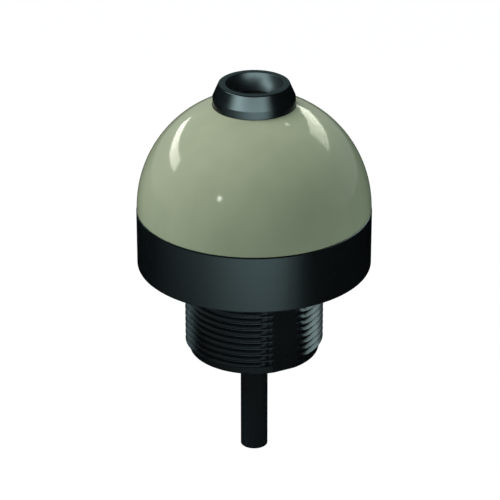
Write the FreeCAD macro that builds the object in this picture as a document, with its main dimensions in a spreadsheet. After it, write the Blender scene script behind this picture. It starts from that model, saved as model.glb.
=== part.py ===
import FreeCAD, Part
import Sketcher
import os
import re
from math import atan2, cos, pi, sin, sqrt, tan

# Domed position sensor: a ring with a threaded stem, a dome, a dished nose, and the
# boards, transducer and cable inside. Z points up, and Z = 0 is the underside of the
# ring, which seats on a panel. All sizes are in millimetres or degrees.

document = FreeCAD.newDocument("position_sensor")

driving_sizes = [
    ("fit_clearance", 0.1, "gap between moulded parts that slide together"),
    ("seal_clearance", 0.02, "gap between a seal and its groove"),
    ("ring_radius", 25.0, "outside of the ring"),
    ("ring_height", 12.55, "ring, seat to top edge"),
    ("ring_wall", 2.0, "wall of the ring"),
    ("ring_edge", 0.3, "rounding of the ring's outer edges"),
    ("floor_thickness", 2.5, "floor of the ring"),
    ("crest_radius", 14.9, "crests of the M30 thread"),
    ("thread_depth", 0.9, "crests to roots of the thread"),
    ("stem_length", 20.15, "stem below the seat"),
    ("flat_depth", 1.15, "crests to each of the stem's two flats"),
    ("flat_direction", -62.4, "way that the first flat faces, from X"),
    ("tip_length", 1.6, "height of the tapered end of the stem"),
    ("tip_taper", 0.95, "crests to the stem's end face"),
    ("mouth_wall", 2.3, "wall round the plug"),
    ("mouth_shoulder", 0.7, "step that the plug stops against"),
    ("plug_recess", 2.0, "stem's end to the plug's outer face"),
    ("plug_thickness", 5.0, "plug's disc"),
    ("plug_groove_depth", 1.2, "groove of the plug's seal"),
    ("boot_height", 1.6, "tapered collar round the cable"),
    ("boot_wall", 1.35, "wall of the collar at its end"),
    ("boot_taper", 1.1, "how much wider the collar is at its root"),
    ("spanner_hole_count", 2, "blind holes in the plug"),
    ("spanner_hole_radius", 0.9, "one of those holes"),
    ("spanner_hole_setback", 3.3, "plug's edge to the middle of those holes"),
    ("spanner_hole_depth", 2.0, "depth of those holes"),
    ("dome_inset", 0.1, "ring's outside to the dome's"),
    ("dome_lift", 0.3, "ring's top edge to the dome's centre"),
    ("dome_edge", 0.25, "rounding of the dome's lower edge"),
    ("dome_wall", 2.0, "wall of the dome"),
    ("dome_web", 4.0, "height of the thick foot inside the dome"),
    ("dome_web_step", 1.0, "height where that foot meets the skirt"),
    ("skirt_depth", 3.4, "skirt that enters the ring"),
    ("skirt_wall", 2.2, "wall of the skirt"),
    ("skirt_gap", 0.2, "skirt to the main board"),
    ("skirt_groove_depth", 1.1, "groove of the dome's seal"),
    ("skirt_groove_lift", 0.6, "skirt's lower edge to the groove"),
    ("bead_height", 0.3, "snap bead round the skirt"),
    ("bead_drop", 0.8, "ring's top edge to the bead"),
    ("nose_sink", 0.5, "depth of the nose's pocket in the dome"),
    ("nose_pad_margin", 0.8, "flat boss inside the dome, beyond the nut"),
    ("nose_pad_thickness", 2.4, "wall of that boss"),
    ("collar_radius", 8.7, "nose collar"),
    ("collar_height", 2.3, "collar, seat to cone"),
    ("cone_height", 2.95, "cone, collar to rim"),
    ("cone_step", 1.25, "how much narrower the rim is"),
    ("rim_width", 1.5, "flat rim round the dish"),
    ("rim_edge", 0.3, "rounding of the rim's outer edge"),
    ("bowl_depth", 3.3, "dish, rim to throat"),
    ("bowl_curve", 6.2, "radius of the dish's side"),
    ("throat_radius", 3.9, "throat over the transducer"),
    ("throat_lip", 0.25, "thickness of the lip at the throat"),
    ("barrel_wall", 0.9, "wall of the barrel under the collar"),
    ("barrel_length", 8.0, "barrel below the seat"),
    ("nose_groove_depth", 0.9, "groove of the nose's seal"),
    ("nose_groove_setback", 0.8, "barrel to that groove"),
    ("nut_wall", 3.4, "nut inside the dome"),
    ("nut_height", 3.0, "height of the nut"),
    ("nut_notch_count", 6, "spanner notches round the nut"),
    ("nut_notch", 1.6, "width of a spanner notch"),
    ("nut_notch_depth", 1.2, "depth of a spanner notch"),
    ("sleeve_wall", 0.6, "rubber sleeve in the barrel"),
    ("sleeve_lip", 0.3, "sleeve in front of the transducer"),
    ("can_cover", 0.6, "how much wider the can is than the throat"),
    ("can_height", 6.8, "transducer's can"),
    ("can_wall", 0.5, "wall of the can"),
    ("can_face", 0.7, "face of the can"),
    ("piezo_gap", 0.6, "can's wall to the piezo disc"),
    ("piezo_thickness", 0.9, "thickness of the piezo disc"),
    ("backing_depth", 5.0, "backing behind the piezo disc"),
    ("lead_radius", 0.45, "transducer's leads"),
    ("lead_spread", 1.6, "axis to each lead at the transducer"),
    ("lead_landing", 2.2, "axis to each lead at the board"),
    ("lead_bend", 3.0, "bend radius of the leads"),
    ("board_gap", 1.1, "ring's wall to the main board"),
    ("board_thickness", 1.6, "main board"),
    ("boss_count", 3, "screw bosses in the ring"),
    ("boss_radius", 1.8, "one screw boss"),
    ("gusset_width", 1.0, "web between boss and ring"),
    ("screw_gap", 0.2, "screw head to the skirt"),
    ("screw_radius", 0.8, "shank of a board screw"),
    ("screw_length", 3.6, "shank below the board"),
    ("screw_head_radius", 1.5, "head of a board screw"),
    ("screw_head_height", 1.2, "head of a board screw"),
    ("screw_slot", 0.5, "width of the driver's slot"),
    ("power_board_gap", 0.4, "power board to the screw bosses"),
    ("ledge_width", 1.0, "width of the ledge under the power board"),
    ("ledge_height", 0.6, "height of that ledge"),
    ("ledge_rim_height", 1.8, "rim round the power board"),
    ("ledge_rim_wall", 0.8, "wall of that rim"),
    ("power_board_thickness", 1.2, "power board"),
    ("pin_count", 5, "header pins"),
    ("pin_pitch", 2.54, "spacing of the header pins"),
    ("pin_width", 0.64, "square of a header pin"),
    ("pin_hole", 0.5, "radius of a pin's hole"),
    ("pin_overhang", 0.5, "pin beyond each board"),
    ("header_width", 2.5, "width of the header"),
    ("header_setback", 3.3, "power board's edge to the middle of the header"),
    ("light_count", 6, "status lights"),
    ("light_setback", 3.4, "skirt to the middle of the status lights"),
    ("light_turn", 30.0, "way to the first status light, from X"),
    ("light_length", 3.5, "case of a light"),
    ("light_width", 2.8, "case of a light"),
    ("light_height", 1.1, "case of a light"),
    ("lens_radius", 1.15, "lens of a light"),
    ("lens_height", 0.8, "lens of a light"),
    ("chip_side", 7.0, "microcontroller"),
    ("chip_height", 1.0, "microcontroller"),
    ("chip_bevel", 0.2, "microcontroller's top edges"),
    ("chip_reach", 7.8, "axis to the microcontroller"),
    ("coil_radius", 3.8, "winding of the pulse transformer"),
    ("coil_flange", 4.6, "flanges of the pulse transformer"),
    ("coil_flange_height", 1.2, "one flange"),
    ("coil_height", 6.5, "pulse transformer"),
    ("coil_reach", 8.8, "axis to the pulse transformer"),
    ("reservoir_count", 2, "reservoir capacitors in a row"),
    ("reservoir_radius", 2.4, "one reservoir capacitor"),
    ("reservoir_height", 6.0, "one reservoir capacitor"),
    ("reservoir_reach", 5.2, "axis to the first reservoir capacitor"),
    ("reservoir_gap", 0.5, "between two of them"),
    ("capacitor_edge", 0.4, "rounding of the capacitors"),
    ("filter_radius", 2.6, "filter capacitor"),
    ("filter_height", 7.0, "filter capacitor"),
    ("filter_gap", 0.8, "stem's bore to the filter capacitor"),
    ("choke_flange", 2.8, "flanges of the supply choke"),
    ("choke_waist", 2.0, "winding of the supply choke"),
    ("choke_flange_height", 0.8, "one flange of the choke"),
    ("choke_height", 4.6, "supply choke"),
    ("choke_gap", 0.4, "cable connector to the supply choke"),
    ("socket_length", 11.6, "cable connector"),
    ("socket_width", 4.4, "cable connector"),
    ("socket_height", 4.0, "cable connector"),
    ("socket_pitch", 2.1, "spacing of its wires"),
    ("socket_stagger", 0.8, "its wires stand in two rows, this far from the middle"),
    ("socket_entry", 1.6, "depth of its wire holes"),
    ("jacket_wall", 0.95, "wall of the cable's jacket"),
    ("jacket_gap", 0.05, "conductors to the jacket"),
    ("jacket_tail", 4.6, "jacket inside the plug's back"),
    ("cable_tail", 24.6, "stem's end to the cable's cut end"),
    ("crimp_wall", 0.6, "crimp ring on the jacket"),
    ("crimp_height", 2.4, "crimp ring on the jacket"),
    ("wire_count", 5, "insulated conductors in the cable"),
    ("wire_radius", 0.7, "one insulated conductor"),
    ("wire_gap", 0.07, "between two conductors in the jacket"),
    ("wire_bend", 1.6, "bend radius of the conductors"),
]

sizes = document.addObject("Spreadsheet::Sheet", "sizes")
for row, (alias, number, note) in enumerate(driving_sizes, start=1):
    sizes.set(f"A{row}", note)
    sizes.set(f"B{row}", str(number))
    sizes.setAlias(f"B{row}", alias)
document.recompute()

aliases = {alias for alias, number, note in driving_sizes}

# Sizes and places that follow from those, written as expressions on them.
cup_radius = "(ring_radius - ring_wall)"
tip_radius = "(crest_radius - tip_taper)"
plug_bore = "(crest_radius - thread_depth - mouth_wall)"
stem_bore = f"({plug_bore} - mouth_shoulder)"
stem_end = "(-stem_length)"
plug_face = "(plug_recess - stem_length)"
plug_back = "(plug_recess + plug_thickness - stem_length)"
plug_edge = f"({plug_bore} - fit_clearance)"
power_seat = "(floor_thickness + ledge_height)"
power_top = f"({power_seat} + power_board_thickness)"
skirt_radius = f"({cup_radius} - fit_clearance)"
skirt_inner = f"({skirt_radius} - skirt_wall)"
skirt_end = "(ring_height - skirt_depth)"
bead_level = "(ring_height - bead_drop)"
board_top = f"({skirt_end} - skirt_gap)"
board_seat = f"({board_top} - board_thickness)"
board_radius = f"({cup_radius} - board_gap)"
light_reach = f"({skirt_inner} - light_setback)"
boss_reach = f"({skirt_inner} - screw_head_radius - screw_gap)"
power_board_radius = f"({boss_reach} - boss_radius - power_board_gap)"
ledge_inner = f"({power_board_radius} - ledge_width)"
header_reach = f"({power_board_radius} - header_setback)"
dome_centre = "(ring_height + dome_lift)"
dome_radius = "(ring_radius - dome_inset)"
dome_inner = f"({dome_radius} - dome_wall)"
can_radius = "(throat_radius + can_cover)"
can_inner = f"({can_radius} - can_wall)"
sleeve_radius = f"({can_radius} + sleeve_wall)"
barrel_radius = f"({sleeve_radius} + barrel_wall)"
nut_radius = f"({barrel_radius} + nut_wall)"
nose_pad_radius = f"({nut_radius} + nose_pad_margin)"
nose_pocket = "(collar_radius + fit_clearance)"
nose_seat = f"({dome_centre} + sqrt({dome_radius}^2 - {nose_pocket}^2) - nose_sink)"
pad_bottom = f"({nose_seat} - nose_pad_thickness)"
collar_top = f"({nose_seat} + collar_height)"
rim_radius = "(collar_radius - cone_step)"
rim_top = f"({collar_top} + cone_height)"
throat_top = f"({rim_top} - bowl_depth)"
lip_bottom = f"({throat_top} - throat_lip)"
can_top = f"({lip_bottom} - sleeve_lip)"
can_end = f"({can_top} - can_height)"
piezo_top = f"({can_top} - can_face)"
piezo_bottom = f"({piezo_top} - piezo_thickness)"
backing_bottom = f"({piezo_bottom} - backing_depth)"
socket_bottom = f"({power_seat} - socket_height)"
wire_lay = "((wire_radius + wire_gap / 2) / sin(180 / wire_count))"
jacket_inner = f"({wire_lay} + wire_radius + jacket_gap)"
cable_radius = f"({jacket_inner} + jacket_wall)"
cable_end = f"({stem_end} - cable_tail)"
jacket_top = f"({plug_back} + jacket_tail)"
first_pin = "(-(pin_count - 1) / 2 * pin_pitch)"
pin_row = "(pin_count - 1) * pin_pitch"


def bound(expression):
    """Turn an expression on size names into one that the document can follow."""
    return re.sub(
        r"[a-z][a-z_]*",
        lambda word: "sizes." + word[0] if word[0] in aliases else word[0],
        str(expression),
    )


def measure(expression):
    """Give an expression's present value."""
    return float(sizes.evalExpression(bound(expression)))


def new_body(label):
    body = document.addObject("PartDesign::Body", label)
    body.Label = label
    return body


def new_sketch(body, name, plane, level=0):
    """Lay an empty sketch on one of the body's own planes, moved along its normal."""
    sketch = body.newObject("Sketcher::SketchObject", name)
    base = [item for item in body.Origin.OriginFeatures if item.Role == plane][0]
    sketch.AttachmentSupport = [(base, "")]
    sketch.MapMode = "FlatFace"
    if level != 0:
        sketch.setExpression("AttachmentOffset.Base.z", bound(level))
    return sketch


def hold(sketch, point, axis, expression):
    """Hold one coordinate of a point at the value of an expression."""
    if expression == 0:
        sketch.addConstraint(Sketcher.Constraint("PointOnObject", *point, -2 if axis == "X" else -1))
        return
    distance = measure(expression)
    origin = (-1, 1)
    ends = origin + point if distance >= 0 else point + origin
    index = sketch.addConstraint(Sketcher.Constraint("Distance" + axis, *ends, abs(distance)))
    sign = "" if distance >= 0 else "-"
    sketch.setExpression(f"Constraints[{index}]", bound(f"{sign}({expression})"))


def add_outline(sketch, corners):
    """Close an outline through corners given as (x, y), or as (x, y, radius, turn) where
    an arc of that radius leaves the corner and turns left or right."""
    points = [FreeCAD.Vector(measure(corner[0]), measure(corner[1]), 0) for corner in corners]
    heads = []
    tails = []
    for index, corner in enumerate(corners):
        start = points[index]
        finish = points[(index + 1) % len(points)]
        if len(corner) == 2:
            edge = sketch.addGeometry(Part.LineSegment(start, finish))
            heads.append((edge, 1))
            tails.append((edge, 2))
            continue
        radius = measure(corner[2])
        left = corner[3] == "left"
        chord = finish - start
        across = FreeCAD.Vector(-chord.y, chord.x, 0) * (1 if left else -1)
        rise = sqrt(max(radius**2 - chord.Length**2 / 4, 0))
        centre = (start + finish) * 0.5 + across.normalize() * rise
        first, last = (start, finish) if left else (finish, start)
        circle = Part.Circle(centre, FreeCAD.Vector(0, 0, 1), radius)
        angles = [atan2(end.y - centre.y, end.x - centre.x) for end in (first, last)]
        edge = sketch.addGeometry(Part.ArcOfCircle(circle, *angles))
        heads.append((edge, 1 if left else 2))
        tails.append((edge, 2 if left else 1))
        held = sketch.addConstraint(Sketcher.Constraint("Radius", edge, radius))
        sketch.setExpression(f"Constraints[{held}]", bound(corner[2]))
    for index, corner in enumerate(corners):
        hold(sketch, heads[index], "X", corner[0])
        hold(sketch, heads[index], "Y", corner[1])
        joined = heads[(index + 1) % len(heads)]
        sketch.addConstraint(Sketcher.Constraint("Coincident", *tails[index], *joined))


def add_circle(sketch, across, along, radius):
    """Add a circle whose centre and radius are expressions."""
    centre = FreeCAD.Vector(measure(across), measure(along), 0)
    circle = Part.Circle(centre, FreeCAD.Vector(0, 0, 1), measure(radius))
    edge = sketch.addGeometry(circle)
    held = sketch.addConstraint(Sketcher.Constraint("Radius", edge, measure(radius)))
    sketch.setExpression(f"Constraints[{held}]", bound(radius))
    hold(sketch, (edge, 3), "X", across)
    hold(sketch, (edge, 3), "Y", along)


def box_corners(across, along, length, width):
    """Corners of a rectangle about a centre, all as expressions."""
    return [
        (f"{across} - ({length}) / 2", f"{along} - ({width}) / 2"),
        (f"{across} + ({length}) / 2", f"{along} - ({width}) / 2"),
        (f"{across} + ({length}) / 2", f"{along} + ({width}) / 2"),
        (f"{across} - ({length}) / 2", f"{along} + ({width}) / 2"),
    ]


def turn_about_axis(body, name, corners):
    """Revolve an outline of (radius, height) corners about Z."""
    sketch = new_sketch(body, name + "_outline", "XZ_Plane")
    add_outline(sketch, corners)
    feature = body.newObject("PartDesign::Revolution", name)
    feature.Profile = sketch
    feature.ReferenceAxis = (sketch, ["V_Axis"])
    feature.Angle = 360
    return feature


def turned(label, corners):
    body = new_body(label)
    turn_about_axis(body, label + "_turned", corners)
    return body


def turn_beside_axis(body, name, reach, corners):
    """Revolve an outline of (radius, height) corners about an upright line at X = reach."""
    sketch = new_sketch(body, name + "_outline", "XZ_Plane")
    sketch.setExpression("AttachmentOffset.Base.x", bound(reach))
    add_outline(sketch, corners)
    feature = body.newObject("PartDesign::Revolution", name)
    feature.Profile = sketch
    feature.ReferenceAxis = (sketch, ["V_Axis"])
    feature.Angle = 360
    return feature


def raise_sketch(body, name, sketch, height):
    """Pad a sketch upwards."""
    feature = body.newObject("PartDesign::Pad", name)
    feature.Profile = sketch
    feature.setExpression("Length", bound(height))
    return feature


def sink_sketch(body, name, sketch, depth, upwards=False):
    """Pocket a sketch downwards, or upwards where the solid lies above it."""
    feature = body.newObject("PartDesign::Pocket", name)
    feature.Profile = sketch
    feature.Reversed = upwards
    feature.setExpression("Length", bound(depth))
    return feature


def repeat_round(body, name, features, count):
    """Repeat features about Z, evenly spaced."""
    pattern = body.newObject("PartDesign::PolarPattern", name)
    pattern.Originals = features
    axis = [item for item in body.Origin.OriginFeatures if item.Role == "Z_Axis"][0]
    pattern.Axis = (axis, [""])
    pattern.Angle = 360
    pattern.setExpression("Occurrences", bound(count))
    body.Tip = pattern


def repeat_across(body, name, features, count, length):
    """Repeat features along X, over a total length."""
    pattern = body.newObject("PartDesign::LinearPattern", name)
    pattern.Originals = features
    axis = [item for item in body.Origin.OriginFeatures if item.Role == "X_Axis"][0]
    pattern.Direction = (axis, [""])
    pattern.setExpression("Occurrences", bound(count))
    pattern.setExpression("Length", bound(length))
    body.Tip = pattern


def seal_ring(label, centre_radius, level, section):
    """An O-ring round Z."""
    ring = document.addObject("Part::Torus", label)
    ring.Label = label
    ring.setExpression("Radius1", bound(centre_radius))
    ring.setExpression("Radius2", bound(section))
    ring.setExpression("Placement.Base.z", bound(level))
    return ring


def swept_wire(points, bend, radius):
    """A round wire along straight runs that are joined by tangent arcs."""
    edges = []
    start = points[0]
    for before, corner, after in zip(points, points[1:], points[2:]):
        coming = (corner - before).normalize()
        going = (after - corner).normalize()
        half_turn = coming.getAngle(going) / 2
        setback = bend * tan(half_turn)
        arc_start = corner - coming * setback
        arc_end = corner + going * setback
        inward = (going - coming).normalize()
        arc_middle = corner + inward * (bend / cos(half_turn) - bend)
        edges.append(Part.LineSegment(start, arc_start).toShape())
        edges.append(Part.Arc(arc_start, arc_middle, arc_end).toShape())
        start = arc_end
    edges.append(Part.LineSegment(start, points[-1]).toShape())
    path = Part.Wire(edges)
    circle = Part.Circle(points[0], (points[1] - points[0]).normalize(), radius)
    return path.makePipeShell([Part.Wire([circle.toShape()])], True, False)


def wire_group(label, routes, bend, radius):
    """Several wires kept together as one object."""
    group = document.addObject("Part::Feature", label)
    group.Label = label
    group.Shape = Part.makeCompound([swept_wire(route, bend, radius) for route in routes])
    group.Placement = FreeCAD.Placement()
    return group


def base_housing():
    """Ring, floor and threaded stem in one moulding, with bosses for the main board."""
    body = new_body("base_housing")
    ledge_bore = f"({power_board_radius} + fit_clearance)"
    ledge_outer = f"({ledge_bore} + ledge_rim_wall)"
    rim_level = f"({power_seat} + ledge_rim_height)"
    turn_about_axis(
        body,
        "shell",
        [
            (plug_bore, stem_end),
            (tip_radius, stem_end),
            ("crest_radius", f"{stem_end} + tip_length"),
            ("crest_radius", 0),
            ("ring_radius - ring_edge", 0, "ring_edge", "left"),
            ("ring_radius", "ring_edge"),
            ("ring_radius", "ring_height - ring_edge", "ring_edge", "left"),
            ("ring_radius - ring_edge", "ring_height"),
            (cup_radius, "ring_height"),
            (cup_radius, f"{bead_level} + bead_height"),
            (f"{cup_radius} + bead_height", bead_level),
            (cup_radius, f"{bead_level} - bead_height"),
            (cup_radius, "floor_thickness"),
            (ledge_outer, "floor_thickness"),
            (ledge_outer, rim_level),
            (ledge_bore, rim_level),
            (ledge_bore, power_seat),
            (ledge_inner, power_seat),
            (ledge_inner, "floor_thickness"),
            (stem_bore, "floor_thickness"),
            (stem_bore, plug_back),
            (plug_bore, plug_back),
        ],
    )
    flats = new_sketch(body, "flats_outline", "XY_Plane")
    flats.setExpression("AttachmentOffset.Rotation.Angle", bound("flat_direction"))
    depth = "(flat_depth + fit_clearance)"
    middle = "(crest_radius - flat_depth / 2 + fit_clearance / 2)"
    add_outline(flats, box_corners(middle, "0", depth, "2 * crest_radius"))
    add_outline(flats, box_corners(f"-{middle}", "0", depth, "2 * crest_radius"))
    sink_sketch(body, "flats", flats, "stem_length")
    boss_height = f"{board_seat} - floor_thickness"
    boss_outline = new_sketch(body, "boss_outline", "XY_Plane", "floor_thickness")
    add_circle(boss_outline, boss_reach, 0, "boss_radius")
    boss = raise_sketch(body, "boss", boss_outline, boss_height)
    gusset_outline = new_sketch(body, "gusset_outline", "XY_Plane", "floor_thickness")
    reach = f"({cup_radius} + ring_wall / 2 - {boss_reach})"
    place = f"({boss_reach} + {reach} / 2)"
    add_outline(gusset_outline, box_corners(place, "0", reach, "gusset_width"))
    gusset = raise_sketch(body, "gusset", gusset_outline, boss_height)
    pilot_outline = new_sketch(body, "pilot_outline", "XY_Plane", board_seat)
    add_circle(pilot_outline, boss_reach, 0, "screw_radius")
    pilot = sink_sketch(body, "pilot", pilot_outline, "screw_length + fit_clearance")
    repeat_round(body, "bosses", [boss, gusset, pilot], "boss_count")


def dome():
    """Spherical cap with a pocket for the nose, and a skirt that snaps into the ring."""
    groove_floor = f"({skirt_radius} - skirt_groove_depth)"
    groove_low = f"({skirt_end} + skirt_groove_lift)"
    groove_high = f"({groove_low} + skirt_groove_depth)"
    pad_level = f"{dome_centre} + sqrt({dome_inner}^2 - {nose_pad_radius}^2)"
    turned(
        "dome",
        [
            (skirt_inner, skirt_end),
            (skirt_radius, skirt_end),
            (skirt_radius, groove_low),
            (groove_floor, groove_low),
            (groove_floor, groove_high),
            (skirt_radius, groove_high),
            (skirt_radius, f"{bead_level} - bead_height"),
            (f"{skirt_radius} + bead_height", bead_level),
            (skirt_radius, f"{bead_level} + bead_height"),
            (skirt_radius, "ring_height"),
            (f"{dome_radius} - dome_edge", "ring_height", "dome_edge", "left"),
            (dome_radius, "ring_height + dome_edge"),
            (dome_radius, dome_centre, dome_radius, "left"),
            (nose_pocket, f"{nose_seat} + nose_sink"),
            (nose_pocket, nose_seat),
            (f"{barrel_radius} + fit_clearance", nose_seat),
            (f"{barrel_radius} + fit_clearance", pad_bottom),
            (nose_pad_radius, pad_bottom),
            (nose_pad_radius, pad_level, dome_inner, "right"),
            (f"sqrt({dome_inner}^2 - dome_web^2)", f"{dome_centre} + dome_web"),
            (skirt_inner, f"{dome_centre} + dome_web_step"),
        ],
    )


def sensing_nose():
    """Dished nose: collar, cone and rim outside, and a barrel that goes through the dome."""
    barrel_end = f"({nose_seat} - barrel_length)"
    groove_inner = f"({barrel_radius} + nose_groove_setback)"
    groove_outer = f"({groove_inner} + nose_groove_depth)"
    groove_top = f"({nose_seat} + nose_groove_depth)"
    turned(
        "sensing_nose",
        [
            (sleeve_radius, barrel_end),
            (barrel_radius, barrel_end),
            (barrel_radius, nose_seat),
            (groove_inner, nose_seat),
            (groove_inner, groove_top),
            (groove_outer, groove_top),
            (groove_outer, nose_seat),
            ("collar_radius", nose_seat),
            ("collar_radius", collar_top),
            (rim_radius, f"{rim_top} - rim_edge", "rim_edge", "left"),
            (f"{rim_radius} - rim_edge", rim_top),
            (f"{rim_radius} - rim_width", rim_top, "bowl_curve", "right"),
            ("throat_radius", throat_top),
            ("throat_radius", lip_bottom),
            (sleeve_radius, lip_bottom),
        ],
    )


def nose_nut():
    """Round nut with spanner notches, on the barrel under the dome."""
    nut_end = f"({pad_bottom} - nut_height)"
    body = turned(
        "nose_nut",
        [
            (barrel_radius, nut_end),
            (nut_radius, nut_end),
            (nut_radius, pad_bottom),
            (barrel_radius, pad_bottom),
        ],
    )
    outline = new_sketch(body, "notch_outline", "XY_Plane", pad_bottom)
    add_outline(outline, box_corners(nut_radius, "0", "2 * nut_notch_depth", "nut_notch"))
    notch = sink_sketch(body, "notch", outline, "nut_height")
    repeat_round(body, "notches", [notch], "nut_notch_count")


def transducer():
    """Sleeve, can, piezo disc and backing, from the outside in, and the two leads."""
    turned(
        "transducer_sleeve",
        [
            (can_radius, can_end),
            (sleeve_radius, can_end),
            (sleeve_radius, lip_bottom),
            ("throat_radius", lip_bottom),
            ("throat_radius", can_top),
            (can_radius, can_top),
        ],
    )
    turned(
        "transducer_can",
        [
            (can_inner, can_end),
            (can_radius, can_end),
            (can_radius, can_top),
            (0, can_top),
            (0, piezo_top),
            (can_inner, piezo_top),
        ],
    )
    piezo_radius = f"({can_inner} - piezo_gap)"
    turned(
        "piezo_disc",
        [
            (0, piezo_bottom),
            (piezo_radius, piezo_bottom),
            (piezo_radius, piezo_top),
            (0, piezo_top),
        ],
    )
    turned(
        "transducer_backing",
        [
            (0, backing_bottom),
            (can_inner, backing_bottom),
            (can_inner, piezo_bottom),
            (0, piezo_bottom),
        ],
    )
    routes = []
    for side in (-1, 1):
        spread = side * measure("lead_spread")
        landing = side * measure("lead_landing")
        top = measure(backing_bottom)
        foot = measure(board_top)
        routes.append(
            [
                FreeCAD.Vector(spread, 0, top),
                FreeCAD.Vector(spread, 0, top - (top - foot) / 3),
                FreeCAD.Vector(landing, 0, foot + (top - foot) / 3),
                FreeCAD.Vector(landing, 0, foot),
            ]
        )
    wire_group("transducer_leads", routes, measure("lead_bend"), measure("lead_radius"))


def pin_holes(body, name, level, thickness):
    """Row of holes through a board for the header pins."""
    outline = new_sketch(body, name + "_outline", "XY_Plane", level)
    add_circle(outline, first_pin, f"-{header_reach}", "pin_hole")
    hole = sink_sketch(body, name, outline, thickness)
    repeat_across(body, name + "_row", [hole], "pin_count", pin_row)


def main_board():
    """Round board on the bosses, with holes for its screws and the header pins."""
    body = new_body("main_board")
    disc = new_sketch(body, "main_disc", "XY_Plane", board_seat)
    add_circle(disc, 0, 0, board_radius)
    raise_sketch(body, "main_plate", disc, "board_thickness")
    pin_holes(body, "main_pin_hole", board_top, "board_thickness")
    hole_outline = new_sketch(body, "main_screw_outline", "XY_Plane", board_top)
    add_circle(hole_outline, boss_reach, 0, "screw_radius + fit_clearance")
    hole = sink_sketch(body, "main_screw_hole", hole_outline, "board_thickness")
    repeat_round(body, "main_screw_holes", [hole], "boss_count")


def board_screws():
    """Pan-head screws that hold the main board on its bosses."""
    body = new_body("board_screws")
    shank_end = f"({board_seat} - screw_length)"
    head_top = f"({board_top} + screw_head_height)"
    screw = turn_beside_axis(
        body,
        "screw",
        boss_reach,
        [
            (0, shank_end),
            ("screw_radius", f"{shank_end} + screw_radius / 2"),
            ("screw_radius", board_top),
            ("screw_head_radius", board_top),
            ("screw_head_radius", f"{board_top} + screw_head_height / 2"),
            ("screw_head_radius / 2", head_top),
            (0, head_top),
        ],
    )
    slot_outline = new_sketch(body, "slot_outline", "XY_Plane", head_top)
    add_outline(slot_outline, box_corners(boss_reach, "0", "2 * screw_head_radius", "screw_slot"))
    slot = sink_sketch(body, "slot", slot_outline, "screw_head_height / 2")
    repeat_round(body, "screws", [screw, slot], "boss_count")


def status_lights():
    """Ring of small lamps on the main board, behind the dome."""
    body = new_body("status_lights")
    lens_level = f"{board_top} + light_height"
    case_outline = new_sketch(body, "light_outline", "XY_Plane", board_top)
    lens_outline = new_sketch(body, "lens_outline", "XY_Plane", lens_level)
    for outline in (case_outline, lens_outline):
        outline.setExpression("AttachmentOffset.Rotation.Angle", bound("light_turn"))
    add_outline(case_outline, box_corners(light_reach, "0", "light_width", "light_length"))
    add_circle(lens_outline, light_reach, 0, "lens_radius")
    case = raise_sketch(body, "light_case", case_outline, "light_height")
    lens = raise_sketch(body, "lens", lens_outline, "lens_height")
    repeat_round(body, "lights", [case, lens], "light_count")


def microcontroller():
    """Flat square chip with bevelled top edges."""
    body = new_body("microcontroller")
    outline = new_sketch(body, "chip_outline", "XY_Plane", board_top)
    add_outline(outline, box_corners("0", "chip_reach", "chip_side", "chip_side"))
    block = raise_sketch(body, "chip_block", outline, "chip_height")
    document.recompute()
    middle = measure(f"{board_top} + chip_height / 2")
    upper_edges = [
        f"Edge{number}"
        for number, edge in enumerate(block.Shape.Edges, start=1)
        if all(vertex.Z > middle for vertex in edge.Vertexes)
    ]
    bevel = body.newObject("PartDesign::Chamfer", "chip_bevel_edges")
    bevel.Base = (block, upper_edges)
    bevel.setExpression("Size", bound("chip_bevel"))


def pulse_transformer():
    """Wound drum that drives the piezo disc."""
    body = new_body("pulse_transformer")
    flange_top = f"{board_top} + coil_flange_height"
    coil_top = f"({board_top} + coil_height)"
    turn_beside_axis(
        body,
        "spool",
        "-coil_reach",
        [
            (0, board_top),
            ("coil_flange", board_top),
            ("coil_flange", flange_top),
            ("coil_radius", flange_top),
            ("coil_radius", f"{coil_top} - coil_flange_height"),
            ("coil_flange", f"{coil_top} - coil_flange_height"),
            ("coil_flange", coil_top),
            (0, coil_top),
        ],
    )


def reservoir_capacitors():
    """Cans side by side on the main board."""
    body = new_body("reservoir_capacitors")
    top = f"({board_top} + reservoir_height)"
    can = turn_beside_axis(
        body,
        "reservoir",
        "reservoir_reach",
        [
            (0, board_top),
            ("reservoir_radius", board_top),
            ("reservoir_radius", f"{top} - capacitor_edge", "capacitor_edge", "left"),
            ("reservoir_radius - capacitor_edge", top),
            (0, top),
        ],
    )
    spacing = "(2 * reservoir_radius + reservoir_gap)"
    repeat_across(body, "reservoirs", [can], "reservoir_count", f"(reservoir_count - 1) * {spacing}")


def power_board():
    """Lower board on the ledge round the stem's bore."""
    body = new_body("power_board")
    disc = new_sketch(body, "power_disc", "XY_Plane", power_seat)
    add_circle(disc, 0, 0, power_board_radius)
    raise_sketch(body, "power_plate", disc, "power_board_thickness")
    pin_holes(body, "power_pin_hole", power_top, "power_board_thickness")


def filter_capacitor():
    """Can that hangs from the power board into the stem."""
    body = new_body("filter_capacitor")
    low = f"({power_seat} - filter_height)"
    turn_beside_axis(
        body,
        "filter_can",
        f"{stem_bore} - filter_gap - filter_radius",
        [
            (0, low),
            ("filter_radius - capacitor_edge", low, "capacitor_edge", "left"),
            ("filter_radius", f"{low} + capacitor_edge"),
            ("filter_radius", power_seat),
            (0, power_seat),
        ],
    )
    body.Placement.Rotation = FreeCAD.Rotation(FreeCAD.Vector(0, 0, 1), 90)


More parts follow.
